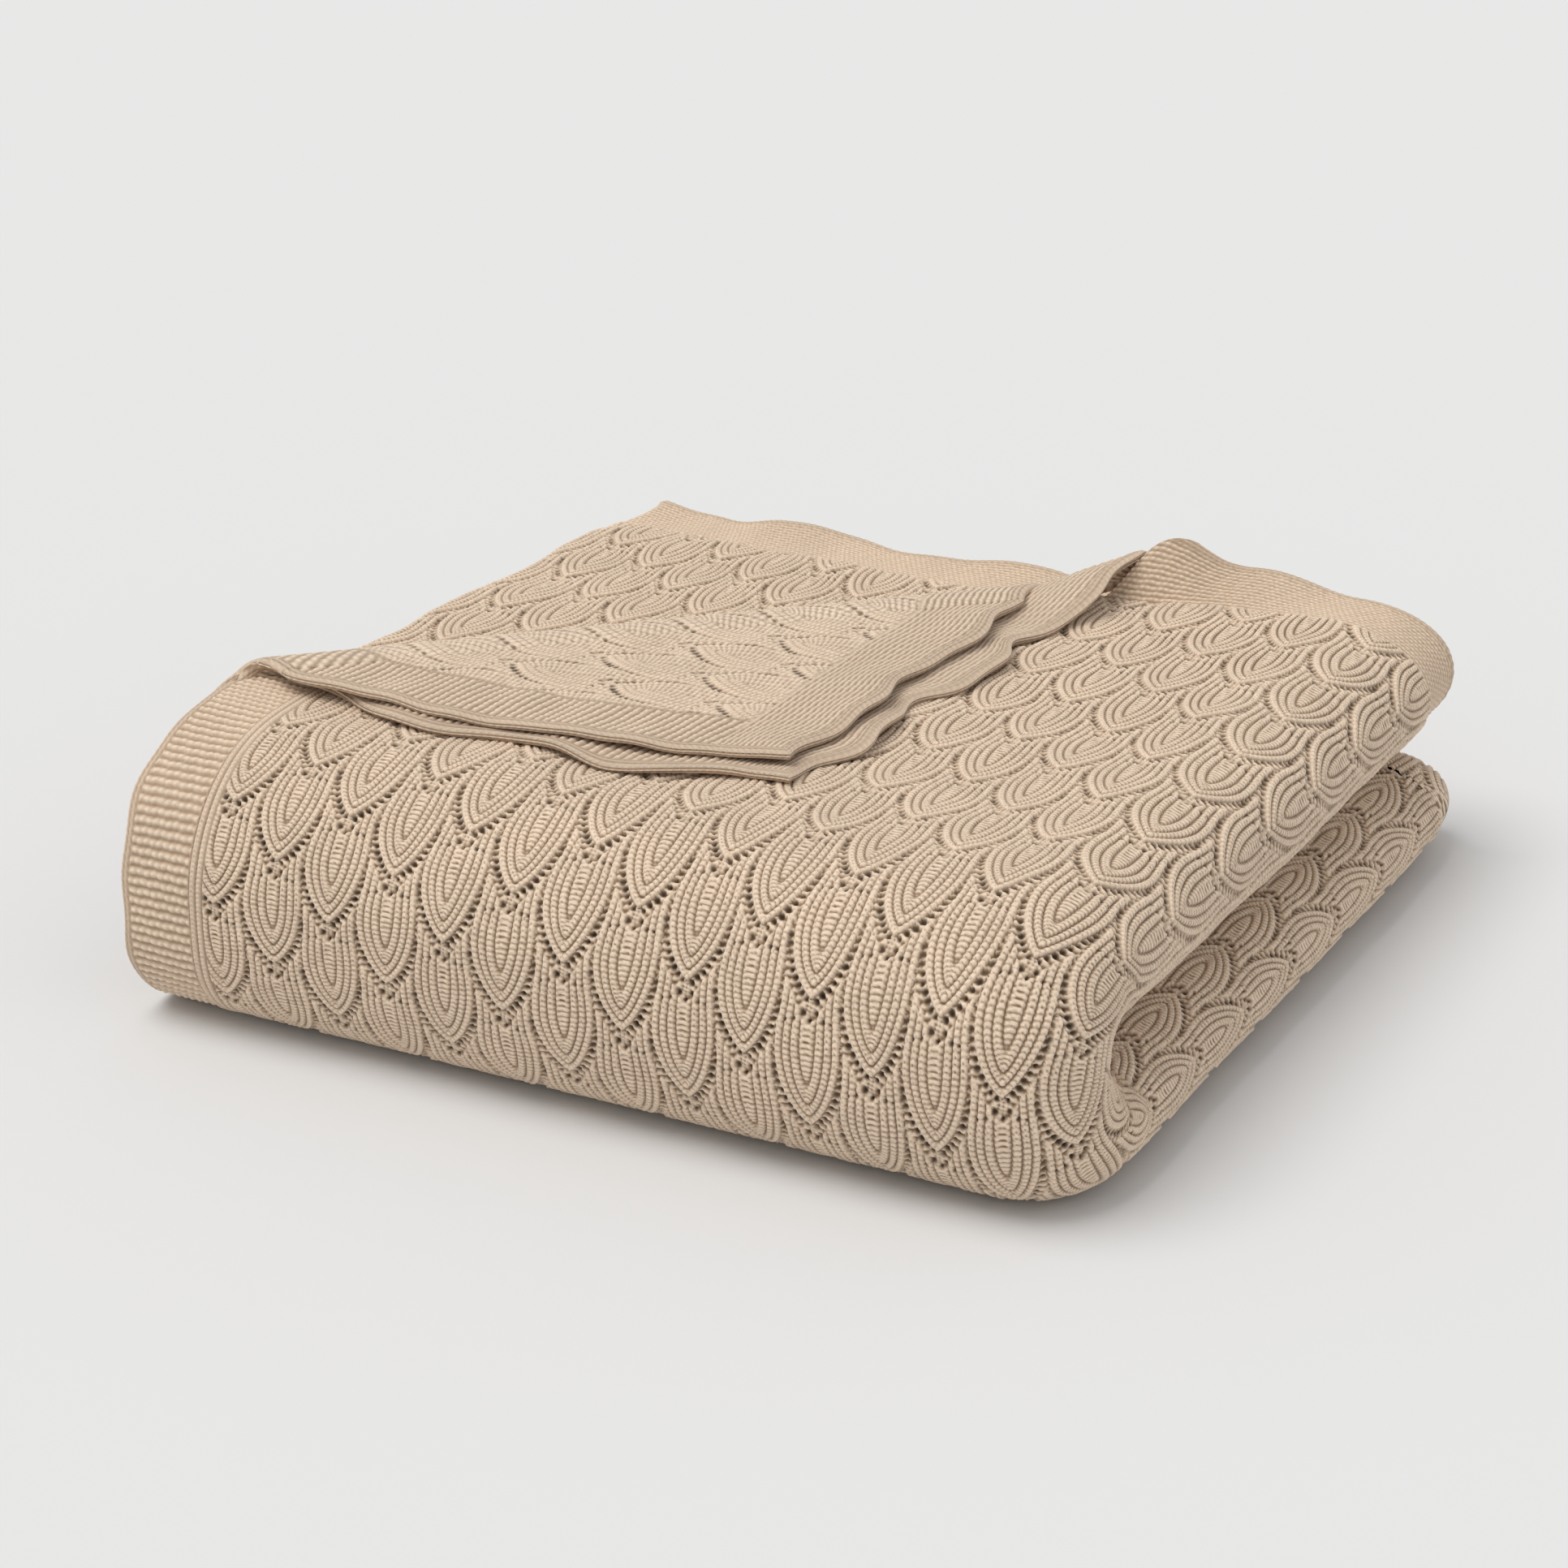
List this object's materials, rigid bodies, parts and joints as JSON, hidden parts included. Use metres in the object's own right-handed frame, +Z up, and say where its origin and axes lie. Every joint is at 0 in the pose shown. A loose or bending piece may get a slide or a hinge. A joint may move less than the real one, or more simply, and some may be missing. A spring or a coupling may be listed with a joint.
{
  "type": "folded throw blanket",
  "caption": "Chunky knitted leaf-lace throw folded into a thick pad, garter-stitch borders, the back corner of the upper layers turned over on to the top.",
  "frame": {"origin": "centre of the pad's footprint, on the plane it rests on", "axes": "+X to the right along the front fold, +Y from the front fold towards the back edges, +Z up"},
  "size_m": [0.3798, 0.3897, 0.1178],
  "materials": {
    "lace_knit": "matte cotton knit, beige",
    "border_knit": "matte cotton garter stitch, beige"
  },
  "bodies": {
    "pad": {"top_layer_panel": "lace_knit", "top_layer_side_band": "border_knit", "top_layer_end_band": "border_knit", "second_layer_panel": "lace_knit", "second_layer_side_band": "border_knit", "second_layer_end_band": "border_knit", "inner_fold_panel": "lace_knit", "inner_fold_end_band": "border_knit", "upper_core": "lace_knit", "lower_core": "lace_knit", "lower_back_fold": "lace_knit"},
    "corner": {"corner_lower_panel": "lace_knit", "corner_lower_side_band": "border_knit", "corner_lower_end_band": "border_knit", "corner_upper_panel": "lace_knit", "corner_upper_side_band": "border_knit", "corner_upper_end_band": "border_knit"}
  },
  "joints": [
    {"name": "corner_turn", "type": "hinge", "parent": "pad", "child": "corner", "pos_m": [-0.05, 0.0305, 0.10322], "axis": [-0.7069, -0.7069, 0.0239], "range_deg": [0, 178]}
  ]
}
